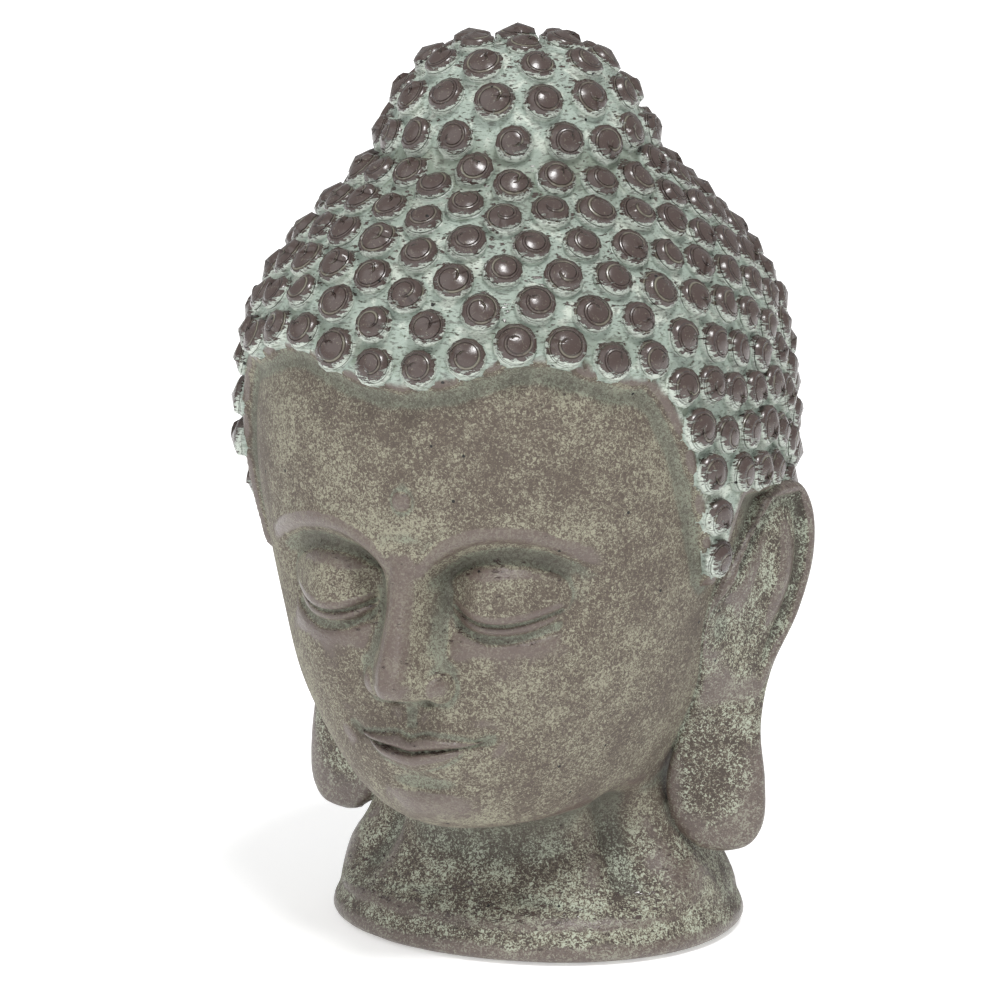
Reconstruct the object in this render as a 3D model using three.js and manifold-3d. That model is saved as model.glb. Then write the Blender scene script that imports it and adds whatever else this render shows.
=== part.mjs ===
// Cast garden ornament: the head of a Buddha, one solid casting.
// Millimetres, +Z up, face towards -Y, standing on z = 0.

import * as THREE from 'three';
import { mergeVertices } from 'three/addons/utils/BufferGeometryUtils.js';
import { ConvexHull } from 'three/addons/math/ConvexHull.js';
import Module from 'manifold-3d';

// ---------------------------------------------------------------- driving dimensions
const CURL_PITCH = 20.5;        // centre to centre of neighbouring snail curls
const CURL_HEIGHT = 7.4;        // tip of a curl above the scalp
const CURL_RADIUS = 8.7;        // radius of a curl where it leaves the scalp
const CURL_FACETS = 5;          // sides of one faceted curl
const CLOSEST = 0.865;          // least gap before the curls are spread out, in pitches
const FIRST_ROW_INSET = 12.0;   // centres of the first row, measured in from the hairline
const HAIR_THICKNESS = 6.0;     // scalp hair stands this proud of the skin
const ROLL_HEIGHT = 1.0;        // extra bead along the hairline
const NECK_SEGMENTS = 36;       // facets around the neck and the foot
const HAIR_CENTRE = 225;        // height of the point the hair grows away from
// place down the crown, curls
const KNOT_RINGS = [[0, 1], [0.035, 6], [0.0655, 10], [0.1, 14], [0.136, 17]];
const URNA = { height: 216, radius: 4.6, rise: 2.8 };                // dot between the brows

// Rings from the crown down to the centre of the foot.
// Front, side and back each have a height and a reach from the upright axis.
const BUST_STATIONS = [
  { front: [391, 0], side: [391, 0], back: [391, 0], axis: 0, square: 2 },                    // crown
  { front: [385, 31], side: [385, 31], back: [385, 31], axis: 0, square: 2 },
  { front: [364, 49], side: [364, 49], back: [364, 49], axis: 0, square: 2 },                 // knot
  { front: [340, 61], side: [341, 58], back: [341, 61], axis: 0, square: 2 },  // foot of the knot
  { front: [317, 90], side: [316, 79], back: [320, 90], axis: 0, square: 2.1 },
  { front: [289, 113], side: [286, 98], back: [293, 115], axis: 0, square: 2.2 },
  { front: [257, 121], side: [253, 105], back: [262, 124.6], axis: 0, square: 2.3 },          // hairline
  { front: [224, 121.5], side: [219, 107.5], back: [226, 124.6], axis: 0, square: 2.25 },         // brow
  { front: [190, 120], side: [186, 105], back: [190, 121], axis: 0, square: 2.1 },            // eyes
  { front: [155, 117], side: [154, 98], back: [155, 111], axis: 0, square: 2.05 },            // nose
  { front: [120, 112], side: [124, 90], back: [124, 101], axis: 2, square: 2.05 },            // mouth
  { front: [88, 106], side: [100, 79], back: [100, 88], axis: 5, square: 1.9 },               // chin
  { front: [66.5, 88], side: [83, 70], back: [84, 81], axis: 10, square: 1.9 },  // under the chin
  { front: [62, 64], side: [71, 66], back: [70, 72], axis: 17, square: 2 },                   // throat
  { front: [47, 58], side: [53, 72], back: [51, 68], axis: 22, square: 2.1 },  // waist of the neck
  { front: [30, 66], side: [32, 84], back: [31, 73], axis: 23.5, square: 2.15 },              // collar
  { front: [14, 79], side: [15, 90.5], back: [14, 80], axis: 24, square: 2.1 },               // rim
  { front: [0, 75], side: [0, 85.5], back: [0, 76], axis: 24, square: 2.1 },  // edge of the foot
  { front: [0, 0], side: [0, 0], back: [0, 0], axis: 24, square: 2.1 },  // centre of the foot
];

// Rings of one ear from its tip down to the end of the lobe: the front and back edges in plan.
const EAR_STATIONS = [
  { z: 208, front: [113, 26], back: [114, 29], thick: 0 },
  { z: 204, front: [108, 13], back: [117, 41], thick: 8 },
  { z: 190, front: [103, -1], back: [119.5, 48], thick: 12 },
  { z: 170, front: [100, -18], back: [119, 48], thick: 13 },
  { z: 148, front: [97, -20], back: [115, 41], thick: 13 },
  { z: 124, front: [90, -10], back: [108.5, 28], thick: 13 },
  { z: 99, front: [78, -1], back: [107, 22], thick: 13 },
  { z: 75, front: [70, 4], back: [110, 21], thick: 14 },
  { z: 56, front: [71, 8], back: [110, 20], thick: 13 },
  { z: 45, front: [80, 10], back: [104, 18], thick: 9 },
  { z: 41.5, front: [91, 14], back: [93, 15], thick: 0 },
];

// ---------------------------------------------------------------- small helpers
function smoothStep(lo, hi, v) {
  const t = Math.min(Math.max((v - lo) / (hi - lo), 0), 1);
  return t * t * (3 - 2 * t);
}

function hill(v, width) {
  return Math.exp(-((v / width) ** 2));
}

function clamp(v, lo, hi) {
  return Math.min(Math.max(v, lo), hi);
}

// Smooth curve through rows of numbers; position runs 0..1 from the first row to the last.
function alongRows(rows, position) {
  const last = rows.length - 3;
  const at = clamp(position, 0, 1) * last;
  const k = Math.min(Math.floor(at), last - 1);
  const t = at - k;
  const [a, b, c, d] = [rows[k], rows[k + 1], rows[k + 2], rows[k + 3]];
  return b.map((_, i) => 0.5 * (2 * b[i] + (c[i] - a[i]) * t
    + (2 * a[i] - 5 * b[i] + 4 * c[i] - d[i]) * t ** 2
    + (3 * b[i] - a[i] - 3 * c[i] + d[i]) * t ** 3));
}

// A ring table closed over both poles: past a pole the reach changes sign.
function withPoles(rows, reachColumns) {
  const past = (row) => row.map((v, i) => (reachColumns.includes(i) ? -v : v));
  return [past(rows[1]), ...rows, past(rows[rows.length - 2])];
}

const bustRows = withPoles(
  BUST_STATIONS.map((s) => [...s.front, ...s.side, ...s.back, s.axis, s.square]), [1, 3, 5]);
const earRows = withPoles(
  EAR_STATIONS.map((s) => [s.z, ...s.front, ...s.back, s.thick]), []);

// Smooth curve through a few [position, value] pairs given in falling order of position.
function curveThrough(pairs, v) {
  const p = [...pairs].reverse();
  const slope = p.map((_, i) => {
    if (i === 0) return (p[1][1] - p[0][1]) / (p[1][0] - p[0][0]);
    if (i === p.length - 1) return (p[i][1] - p[i - 1][1]) / (p[i][0] - p[i - 1][0]);
    const before = p[i][0] - p[i - 1][0];
    const after = p[i + 1][0] - p[i][0];
    const rise = (p[i + 1][1] - p[i][1]) / after;
    const fall = (p[i][1] - p[i - 1][1]) / before;
    return (before * rise + after * fall) / (before + after);
  });
  let k = 0;
  while (k < p.length - 2 && v > p[k + 1][0]) k += 1;
  const h = p[k + 1][0] - p[k][0];
  const t = clamp((v - p[k][0]) / h, 0, 1);
  return (1 + 2 * t) * (1 - t) ** 2 * p[k][1] + t * (1 - t) ** 2 * h * slope[k]
    + t * t * (3 - 2 * t) * p[k + 1][1] + t * t * (t - 1) * h * slope[k + 1];
}

// ---------------------------------------------------------------- hairline
// turn is the angle in plan away from the nose, 0..180 degrees.
function hairlineHeight(turn) {
  const overEar = 46 * (smoothStep(69, 84, turn) - smoothStep(105, 115, turn));
  const front = 259 + 12 * hill(turn - 26, 14) - 99 * smoothStep(48, 76.5, turn);
  return front - 50 * smoothStep(85, 180, turn) + overEar;
}

// distance inside the hairline, measured square to it
function insideHair(turn, z) {
  const slope = (hairlineHeight(turn + 0.5) - hairlineHeight(turn - 0.5)) / THREE.MathUtils.degToRad(110);
  return (z - hairlineHeight(turn)) / Math.sqrt(1 + slope ** 2);
}

// ---------------------------------------------------------------- face
function browHeight(a) {
  return 187 + 16 * Math.sin(Math.PI * 0.88 * clamp((a - 8) / 66, 0, 1.2) ** 0.85);
}

function faceRelief(x, z) {
  const a = Math.abs(x);
  const below = browHeight(a) - z;
  const span = smoothStep(5, 17, a) * (1 - smoothStep(54, 82, a));
  const socket = smoothStep(0, 10, below) * (1 - smoothStep(18, 48, below)) * span;
  let out = -socket * (8.5 + 5 * hill(a - 19, 10));
  out += 1.3 * hill(below + 1.5, 3.5) * smoothStep(4, 14, a) * (1 - smoothStep(60, 80, a));

  // lowered lids
  const ball = clamp(1 - ((a - 39) / 25) ** 2 - ((z - 176) / 17) ** 2, 0, 1);
  out += 9.5 * ball ** 0.8;
  const inEye = smoothStep(23, 19.5, Math.abs(a - 39.5));
  const under = 171.5 - 5.2 * (1 - ((a - 40) / 21) ** 2) - z;
  out += inEye * (-2.6 * smoothStep(0, 1.4, under) * (1 - smoothStep(4, 13, under))
    + 1.7 * hill(under - 4.6, 1.9) - 1.0 * hill(under - 8.5, 2.2));

  // nose: bridge and two wings
  const reach = curveThrough([[200, 0], [190, 4.5], [180, 7.5], [168, 11.5], [154, 18], [143, 24],
    [138, 25], [133.5, 20], [129.5, 3.5], [126, 0], [100, 0]], z);
  const wide = curveThrough(
    [[200, 13], [186, 9.5], [172, 9.5], [156, 13], [143, 16], [134, 16], [126, 14]], z);
  const bridge = reach * (1 - smoothStep(0.12, 1.3, a / wide));
  const wing = 12.5 * clamp(1 - ((a - 13) / 8) ** 2 - ((z - 137.5) / 8.5) ** 2, 0, 1) ** 0.7;
  out += Math.max(1.6 * Math.log(Math.exp(bridge / 1.6) + Math.exp(wing / 1.6)) - 1.6 * Math.log(2), 0);

  // mouth
  out += 4.5 * hill(a, 27) * hill(z - 108, 17);
  const line = 107.5 + 3.6 * (a / 27) ** 2 - 0.9 * hill(a, 4.5);
  const top = line + 8.4 * clamp(1 - (a / 28) ** 1.7, 0, 1) - 1.3 * hill(a, 4);
  const low = line - 9.5 * clamp(1 - (a / 25) ** 2, 0, 1);
  const up = clamp((z - line) / Math.max(top - line, 0.8), 0, 1);
  const down = clamp((line - z) / Math.max(line - low, 0.8), 0, 1);
  const upper = z >= line && up < 1 ? Math.sin(Math.PI * up ** 0.62) ** 0.8 : 0;
  const lower = z < line && down < 1 ? Math.sin(Math.PI * down ** 0.62) ** 0.8 : 0;
  out += smoothStep(30, 25, a)
    * (3.6 * upper + 4.4 * lower * smoothStep(26, 14, a) - 1.6 * hill(z - line, 1.3));
  out -= 3.6 * hill(a - 29.5, 5) * hill(z - line - 0.5, 4.5);
  out -= 3.6 * hill(z - 91.5, 5.5) * hill(a, 17);
  out += 5.5 * hill(a, 19) * hill(z - 77, 12);

  // cheeks, and the dot between the brows
  out += 4.5 * hill(a - 50, 24) * hill(z - 143, 27);
  out += URNA.rise * clamp(1 - (x ** 2 + (z - URNA.height) ** 2) / URNA.radius ** 2, 0, 1) ** 0.6;
  return out;
}

// ---------------------------------------------------------------- skin of the bust
// Every point of the casting is found from one direction d on a unit sphere.
function turnOf(d) {
  return Math.atan2(d.x, -d.y);
}

function positionOf(d) {
  return Math.acos(clamp(d.z, -1, 1)) / Math.PI;
}

function bustSkin(d) {
  const turnRad = turnOf(d);
  const turn = Math.abs(THREE.MathUtils.radToDeg(turnRad));
  const position = positionOf(d);
  const s = alongRows(bustRows, position);
  const c = Math.cos(turnRad);
  const n = Math.sin(turnRad);
  const front = clamp(c, 0, 1) ** 2;
  const back = clamp(-c, 0, 1) ** 2;
  const z = Math.max(front * s[0] + n * n * s[2] + back * s[4], 0);
  const depth = Math.max(c > 0 ? s[1] : s[5], 1e-6);
  const wide = Math.max(s[3], 1e-6);
  let radius = ((Math.abs(n) / wide) ** s[7] + (Math.abs(c) / depth) ** s[7]) ** (-1 / s[7]);

  // neck: a fold either side of the throat, and the line over the rim
  const neck = smoothStep(16, 34, z) * (1 - smoothStep(66, 84, z));
  radius += neck * (2.0 * hill(turn - 66, 16) - 5.5 * hill(turn - 44, 10));
  radius -= 1.8 * hill(z - 22.5, 3) * (1 - smoothStep(60, 100, turn));

  const p = new THREE.Vector3(radius * n, s[6] - radius * c, z);
  const faceOn = position < 0.8 ? 1 - smoothStep(52, 84, turn) : 0;
  if (faceOn > 0) {
    p.y -= faceRelief(p.x, p.z) * faceOn;
  }
  if (z > 60) {
    const inside = insideHair(turn, z);
    const lift = HAIR_THICKNESS * smoothStep(-1.5, 5.5, inside) + ROLL_HEIGHT * hill(inside - 4.5, 3);
    p.addScaledVector(new THREE.Vector3(p.x, p.y, p.z - HAIR_CENTRE).normalize(), lift);
  }
  return p;
}

// unit steps east and north from direction d
function tangents(d) {
  const east = new THREE.Vector3(-d.y, d.x, 0);
  if (east.lengthSq() < 1e-8) east.set(1, 0, 0);
  east.normalize();
  return [east, new THREE.Vector3().crossVectors(d, east)];
}

// outward normal of the skin at direction d
function skinNormal(d) {
  const [east, north] = tangents(d);
  const step = 0.02;
  const at = (axis, k) => bustSkin(d.clone().addScaledVector(axis, k * step).normalize());
  const alongEast = at(east, 1).sub(at(east, -1));
  const alongNorth = at(north, 1).sub(at(north, -1));
  return alongEast.cross(alongNorth).normalize();
}

function direction(turnDeg, position) {
  const turn = THREE.MathUtils.degToRad(turnDeg);
  const polar = position * Math.PI;
  const level = Math.sin(polar);
  return new THREE.Vector3(level * Math.sin(turn), -level * Math.cos(turn), Math.cos(polar));
}

// position on one meridian where the skin has sunk to height z
function positionAtHeight(turnDeg, z) {
  let lo = 0.02;
  let hi = 0.75;
  for (let i = 0; i < 22; i += 1) {
    const mid = (lo + hi) / 2;
    if (bustSkin(direction(turnDeg, mid)).z > z) lo = mid;
    else hi = mid;
  }
  return (lo + hi) / 2;
}

// ---------------------------------------------------------------- where the curls sit
// The knot is ringed first. The rest are stacked up from the hairline like shot in a tray:
// the lowest free seat that is a full pitch away from every curl already placed.
// Then they nudge one another until the gaps are shared out.
// the first row keeps step with the hairline, one pitch apart
function firstRow() {
  const path = [];
  for (let turn = -180; turn <= 180; turn += 1) {
    const a = Math.abs(turn);
    const slope = (hairlineHeight(a + 0.5) - hairlineHeight(a - 0.5)) / THREE.MathUtils.degToRad(110);
    const z = hairlineHeight(a) + FIRST_ROW_INSET * Math.sqrt(1 + slope ** 2);
    const d = direction(turn, positionAtHeight(turn, z));
    path.push({ d, p: bustSkin(d) });
  }
  const along = [0];
  for (let i = 1; i < path.length; i += 1) along.push(along[i - 1] + path[i].p.distanceTo(path[i - 1].p));
  const length = along[along.length - 1];
  const count = Math.round(length / CURL_PITCH);
  return Array.from({ length: count }, (_, k) => {
    const target = (length * (k + 0.5)) / count;
    const i = along.findIndex((v) => v >= target);
    const t = (target - along[i - 1]) / (along[i] - along[i - 1]);
    return path[i - 1].d.clone().lerp(path[i].d, t).normalize();
  });
}

function curlSeats() {
  const hairline = [];
  for (let turn = -180; turn < 180; turn += 2) {
    hairline.push(bustSkin(direction(turn, positionAtHeight(turn, hairlineHeight(Math.abs(turn))))));
  }
  const seats = [];
  KNOT_RINGS.forEach(([position, count], ring) => {
    for (let i = 0; i < count; i += 1) {
      const d = direction((360 * (i + 0.5 * (ring % 2))) / count, position);
      seats.push({ d, p: bustSkin(d), fixed: ring < 3 });
    }
  });
  const apart = CURL_PITCH * CLOSEST;
  const roomAt = (p) => seats.every((seat) => seat.p.distanceTo(p) >= apart);
  firstRow().forEach((d) => {
    const p = bustSkin(d);
    if (roomAt(p)) seats.push({ d, p, fixed: true });
  });
  const free = [];
  for (let row = 42; row < 190; row += 1) {
    for (let turn = -180; turn < 180; turn += 1.5) {
      const d = direction(turn, row / 250);
      const p = bustSkin(d);
      if (insideHair(Math.abs(turn), p.z) < FIRST_ROW_INSET) continue;
      const from = Math.sqrt(Math.min(...hairline.map((h) => h.distanceToSquared(p))));
      const order = Math.round(from / 0.75) * 1000 + Math.abs(turn) + (turn < 0 ? 0.1 : 0);
      if (from >= FIRST_ROW_INSET) free.push({ d, p, order, fixed: false });
    }
  }
  free.sort((one, two) => one.order - two.order);
  free.forEach((seat) => {
    if (roomAt(seat.p)) seats.push(seat);
  });

  const reach = CURL_PITCH * 1.25;
  for (let round = 0; round < 40; round += 1) {
    const pushes = seats.map((seat) => {
      const push = new THREE.Vector3();
      if (seat.fixed) return push;
      seats.forEach((other) => {
        const gap = seat.p.distanceTo(other.p);
        if (other !== seat && gap < reach) {
          push.addScaledVector(seat.p.clone().sub(other.p), (0.22 * (reach - gap)) / gap);
        }
      });
      return push;
    });
    seats.forEach((seat, i) => {
      if (seat.fixed) return;
      const step = 0.03;
      const [east, north] = tangents(seat.d);
      const perEast = bustSkin(seat.d.clone().addScaledVector(east, step).normalize()).sub(seat.p);
      const perNorth = bustSkin(seat.d.clone().addScaledVector(north, step).normalize()).sub(seat.p);
      const d = seat.d.clone()
        .addScaledVector(east, (step * pushes[i].dot(perEast)) / perEast.lengthSq())
        .addScaledVector(north, (step * pushes[i].dot(perNorth)) / perNorth.lengthSq())
        .normalize();
      const p = bustSkin(d);
      if (insideHair(Math.abs(THREE.MathUtils.radToDeg(turnOf(d))), p.z) < FIRST_ROW_INSET) return;
      seat.d = d;
      seat.p = p;
    });
  }
  return seats;
}

// ---------------------------------------------------------------- tessellation
// Latitudes are respaced so that small circles on the casting stay near circles on the sphere.
const respaced = (() => {
  const steps = 600;
  const stretch = [];
  let sum = 0;
  let before = null;
  for (let i = 1; i < steps; i += 1) {
    const [fz, fr, sz, sr, bz, br] = alongRows(bustRows, i / steps);
    const ring = { r: (fr + 2 * sr + br) / 4, z: (fz + 2 * sz + bz) / 4 };
    if (before) sum += Math.hypot(ring.r - before.r, ring.z - before.z) / ((ring.r + before.r) / 2);
    stretch.push(sum);
    before = ring;
  }
  const middle = stretch[Math.round(steps * 0.42)];
  return (position) => {
    const at = clamp(position * steps - 1, 0, stretch.length - 1);
    const k = Math.min(Math.floor(at), stretch.length - 2);
    const q = stretch[k] + (stretch[k + 1] - stretch[k]) * (at - k);
    return (2 * Math.atan(Math.exp(q - middle))) / Math.PI;
  };
})();

// Directions are joined by the convex hull of their respaced places on the sphere.
function hullTriangles(directions) {
  const places = directions.map((d) => {
    const position = positionOf(d);
    if (position < 1e-6 || position > 1 - 1e-6) return new THREE.Vector3(0, 0, Math.sign(d.z));
    return direction(THREE.MathUtils.radToDeg(turnOf(d)), respaced(position));
  });
  const hull = new ConvexHull().setFromPoints(places);
  const indexOf = new Map(places.map((place, i) => [place, i]));
  return hull.faces.map((face) => {
    const corners = [];
    let edge = face.edge;
    do {
      corners.push(indexOf.get(edge.head().point));
      edge = edge.next;
    } while (edge !== face.edge);
    return corners;
  });
}

function nestedDirections(segments) {
  const sphere = mergeVertices(new THREE.IcosahedronGeometry(1, segments - 1).deleteAttribute('uv')
    .deleteAttribute('normal'), 1e-5);
  const at = sphere.getAttribute('position');
  return Array.from({ length: at.count },
    (_, i) => new THREE.Vector3().fromBufferAttribute(at, i).normalize());
}

function bustGeometry() {
  const seats = curlSeats();
  const points = [];    // { d, rise }
  const add = (d, rise = 0) => points.push({ d, rise });

  // curls: a tip and a ring round the foot of each
  seats.forEach((seat, number) => {
    add(seat.d, CURL_HEIGHT);
    const [east, north] = tangents(seat.d);
    const beside = (axis) => bustSkin(seat.d.clone().addScaledVector(axis, 0.05).normalize());
    const perEast = beside(east).distanceTo(seat.p) / 0.05;
    const perNorth = beside(north).distanceTo(seat.p) / 0.05;
    for (let k = 0; k < CURL_FACETS; k += 1) {
      const angle = ((k + 0.5 * (number % 2)) * 2 * Math.PI) / CURL_FACETS;
      add(seat.d.clone()
        .addScaledVector(east, (CURL_RADIUS * Math.cos(angle)) / perEast)
        .addScaledVector(north, (CURL_RADIUS * Math.sin(angle)) / perNorth)
        .normalize());
    }
  });

  // hairline: the foot of the step and the bead above it
  for (let turn = -180; turn < 180; turn += 4.5) {
    const z = hairlineHeight(Math.abs(turn));
    add(direction(turn, positionAtHeight(turn, z - 2.5)));
    add(direction(turn + 2.25, positionAtHeight(turn + 2.25, hairlineHeight(Math.abs(turn + 2.25)) + 4)));
  }

  // face and nape, closer together where there is more to see
  const clearOfHair = (d, margin) => {
    const turn = Math.abs(THREE.MathUtils.radToDeg(turnOf(d)));
    return insideHair(turn, bustSkin(d).z) < -margin;
  };
  const nearFeature = (a, z) => (Math.abs(a - 40) < 25 && Math.abs(z - 172) < 11)
    || (a < 31 && Math.abs(z - 107.5) < 11) || (a < 21 && Math.abs(z - 135) < 12)
    || (a > 5 && a < 68 && Math.abs(browHeight(a) - z) < 4.5);
  const neckTop = 0.665;
  const levels = [[8, () => true],
    [16, (p) => p.y < -20 && p.z > 70],
    [32, (p) => p.y < -70 && Math.abs(p.x) < 64 && p.z > 92 && p.z < 200],
    [64, (p) => p.y < -70 && nearFeature(Math.abs(p.x), p.z)]];
  const taken = new Set();
  levels.forEach(([segments, wanted]) => nestedDirections(segments).forEach((d) => {
    const key = d.toArray().map((v) => v.toFixed(4)).join();
    if (taken.has(key) || positionOf(d) > neckTop || !clearOfHair(d, 7)) return;
    if (!wanted(bustSkin(d))) return;
    taken.add(key);
    add(d);
  }));

  // the dot between the brows
  const dot = direction(0, positionAtHeight(0, URNA.height));
  add(dot);
  const [dotEast, dotNorth] = tangents(dot);
  for (let k = 0; k < 6; k += 1) {
    const angle = (k * Math.PI) / 3;
    [0.75, 1.15].forEach((r) => add(dot.clone()
      .addScaledVector(dotEast, (r * URNA.radius * Math.cos(angle)) / 125)
      .addScaledVector(dotNorth, (r * URNA.radius * Math.sin(angle)) / 190)
      .normalize()));
  }

  // neck and foot in rings
  for (let ring = 0; ring <= 8; ring += 1) {
    const position = 0.69 + ((17 / 18 - 0.69) * ring) / 8;
    for (let i = 0; i < NECK_SEGMENTS; i += 1) {
      add(direction((360 * (i + 0.5 * (ring % 2))) / NECK_SEGMENTS, position));
    }
  }
  add(new THREE.Vector3(0, 0, -1));

  const faces = hullTriangles(points.map((p) => p.d));
  const at = points.flatMap(({ d, rise }) => {
    const p = bustSkin(d);
    if (rise > 0) p.addScaledVector(skinNormal(d), rise);
    return p.toArray();
  });
  const geometry = new THREE.BufferGeometry();
  geometry.setAttribute('position', new THREE.Float32BufferAttribute(at, 3));
  geometry.setIndex(faces.flat());
  return geometry;
}

// ---------------------------------------------------------------- ears
function earSkin(d) {
  const angle = Math.atan2(d.x, -d.y);    // 0 on the front edge, 90 degrees outward
  const [z, frontX, frontY, backX, backY, thick] = alongRows(earRows, positionOf(d));
  const middle = new THREE.Vector2((frontX + backX) / 2, (frontY + backY) / 2);
  const half = new THREE.Vector2((backX - frontX) / 2, (backY - frontY) / 2);
  const halfLength = half.length();
  const along = half.clone().normalize();
  const c = Math.cos(angle);
  const n = Math.sin(angle);
  const e = -Math.sign(c) * Math.abs(c) ** 0.8 * halfLength;
  let t = (Math.sign(n) * Math.abs(n) ** 0.7 * thick) / 2;
  const outer = clamp(n, 0, 1) ** 0.5;
  const fromBack = halfLength - e;
  const fromFront = halfLength + e;
  const edge = Math.min(fromBack, (EAR_STATIONS[0].z - z) * 1.1, fromFront + clamp(171 - z, 0, 60) * 0.5);
  const upper = smoothStep(112, 147, z);
  t -= outer * smoothStep(5.5, 11, edge) * upper * 5.6;
  t += outer * upper * 1.2 * hill(edge - 3.5, 2.6);
  t += outer * 3.6 * hill(fromBack - 19, 6.5) * hill(z - 165, 22);
  t -= outer * 3.5 * hill(fromFront - 14, 7) * hill(z - 179, 10);
  t -= outer * 2.4 * hill(fromFront - 12, 7) * hill(z - 149, 9);
  return new THREE.Vector3(
    middle.x + along.x * e + along.y * t,
    middle.y + along.y * e - along.x * t,
    z);
}

function earGeometry(side) {
  const ball = new THREE.SphereGeometry(1, 16, 13);
  ball.rotateX(Math.PI / 2);
  ball.deleteAttribute('uv').deleteAttribute('normal');
  const geometry = mergeVertices(ball, 1e-5);
  const at = geometry.getAttribute('position');
  for (let i = 0; i < at.count; i += 1) {
    const p = earSkin(new THREE.Vector3().fromBufferAttribute(at, i).normalize());
    at.setXYZ(i, p.x * side, p.y, p.z);
  }
  if (side < 0) {
    const order = Array.from(geometry.index.array);
    for (let i = 0; i < order.length; i += 3) {
      [order[i + 1], order[i + 2]] = [order[i + 2], order[i + 1]];
    }
    geometry.setIndex(order);
  }
  return geometry;
}

// ---------------------------------------------------------------- join into one casting
const wasm = await Module();
wasm.setup();

function toSolid(geometry) {
  return new wasm.Manifold(new wasm.Mesh({
    numProp: 3,
    vertProperties: new Float32Array(geometry.getAttribute('position').array),
    triVerts: new Uint32Array(geometry.index.array),
  }));
}

function toGeometry(solid) {
  const mesh = solid.getMesh();
  const geometry = new THREE.BufferGeometry();
  geometry.setAttribute('position', new THREE.BufferAttribute(new Float32Array(mesh.vertProperties), 3));
  geometry.setIndex(new THREE.BufferAttribute(new Uint32Array(mesh.triVerts), 1));
  geometry.computeVertexNormals();
  return geometry;
}

const casting = toSolid(bustGeometry()).add(toSolid(earGeometry(1))).add(toSolid(earGeometry(-1)));

const paintedCast = new THREE.MeshStandardMaterial({ color: 0x857b6c, roughness: 0.6, metalness: 0 });
const head = new THREE.Mesh(toGeometry(casting), paintedCast);
head.name = 'buddha_head';

const model = new THREE.Group();
model.name = 'stone_buddha_head';
model.add(head);
export default model;
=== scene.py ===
import bpy
import bmesh
import math
import time
import numpy as np
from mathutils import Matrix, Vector


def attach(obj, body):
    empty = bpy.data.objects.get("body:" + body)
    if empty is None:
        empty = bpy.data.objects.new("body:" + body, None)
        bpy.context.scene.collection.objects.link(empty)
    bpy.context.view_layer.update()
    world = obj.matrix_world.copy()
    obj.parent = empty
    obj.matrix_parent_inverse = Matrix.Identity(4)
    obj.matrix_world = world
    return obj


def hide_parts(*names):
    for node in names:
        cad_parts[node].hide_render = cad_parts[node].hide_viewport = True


started = time.time()
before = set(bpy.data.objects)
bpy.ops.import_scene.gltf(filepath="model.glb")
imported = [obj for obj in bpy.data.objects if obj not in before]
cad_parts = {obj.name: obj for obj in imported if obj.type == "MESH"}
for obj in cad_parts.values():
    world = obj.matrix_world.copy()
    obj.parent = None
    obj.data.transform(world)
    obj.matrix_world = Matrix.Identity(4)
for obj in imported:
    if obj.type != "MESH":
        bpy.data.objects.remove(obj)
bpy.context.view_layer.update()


def report(text):
    print(f"[{time.time() - started:5.1f} s] {text}")


# shapes are worked out in millimetres; the bust is swept ring by ring from the crown to the foot
bust = {
    # front z, reach   side z, reach   back z, reach   axis y, squareness
    "rings": [
        [391, 0, 391, 0, 391, 0, 0, 2.0],  # crown
        [385, 31, 385, 31, 385, 31, 0, 2.0],
        [364, 49, 364, 49, 364, 49, 0, 2.0],  # knot
        [340, 61, 341, 58, 341, 61, 0, 2.0],
        [317, 90, 316, 79, 320, 90, 0, 2.1],
        [289, 113, 286, 98, 293, 115, 0, 2.2],
        [257, 121, 253, 105, 262, 124.6, 0, 2.3],  # hairline
        [224, 121.5, 219, 107.5, 226, 124.6, 0, 2.25],  # brow
        [190, 120, 186, 105, 190, 121, 0, 2.1],  # eyes
        [155, 117, 154, 98, 155, 111, 0, 2.05],  # nose
        [120, 112, 124, 90, 124, 101, 2, 2.05],  # mouth
        [88, 106, 100, 79, 100, 88, 5, 1.9],  # chin
        [66.5, 88, 83, 70, 84, 81, 10, 1.9],
        [62, 64, 71, 66, 70, 72, 17, 2.0],  # throat
        [47, 58, 53, 72, 51, 68, 22, 2.1],
        [30, 66, 32, 84, 31, 73, 23.5, 2.15],  # collar
        [14, 79, 15, 90.5, 14, 80, 24, 2.1],  # rim
        [0, 75, 0, 85.5, 0, 76, 24, 2.1],  # edge of the foot
        [0, 0, 0, 0, 0, 0, 24, 2.1],
    ],
    "hairCentre": 225,  # height of the point that the hair grows away from
    "hairThickness": 6.0,
    "rollHeight": 1.0,  # bead along the hairline
    "neckFolds": [(76, 12, 3), (55, 8, -8.5)],  # turn from the front, width, rise
    "collar": 24,  # height of the crease over the foot
}


def smoothStep(lo, hi, v):
    t = np.clip((v - lo) / (hi - lo), 0, 1)
    return t * t * (3 - 2 * t)


def hill(v, width):
    return np.exp(-((v / width) ** 2))


def closeTable(rows, reachColumns):  # past a pole the reach changes sign
    rows = np.array(rows, float)
    before, after = rows[1].copy(), rows[-2].copy()
    before[reachColumns] *= -1
    after[reachColumns] *= -1
    return np.vstack([before, rows, after])


def alongRows(rows, place):  # smooth curve through the rows, place 0..1
    last = len(rows) - 3
    at = np.clip(place, 0, 1) * last
    k = np.minimum(at.astype(int), last - 1)
    t = (at - k)[:, None]
    a, b, c, d = (rows[k + i] for i in range(4))
    return 0.5 * (2 * b + (c - a) * t + (2 * a - 5 * b + 4 * c - d) * t**2
                  + (3 * b - a - 3 * c + d) * t**3)


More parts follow.
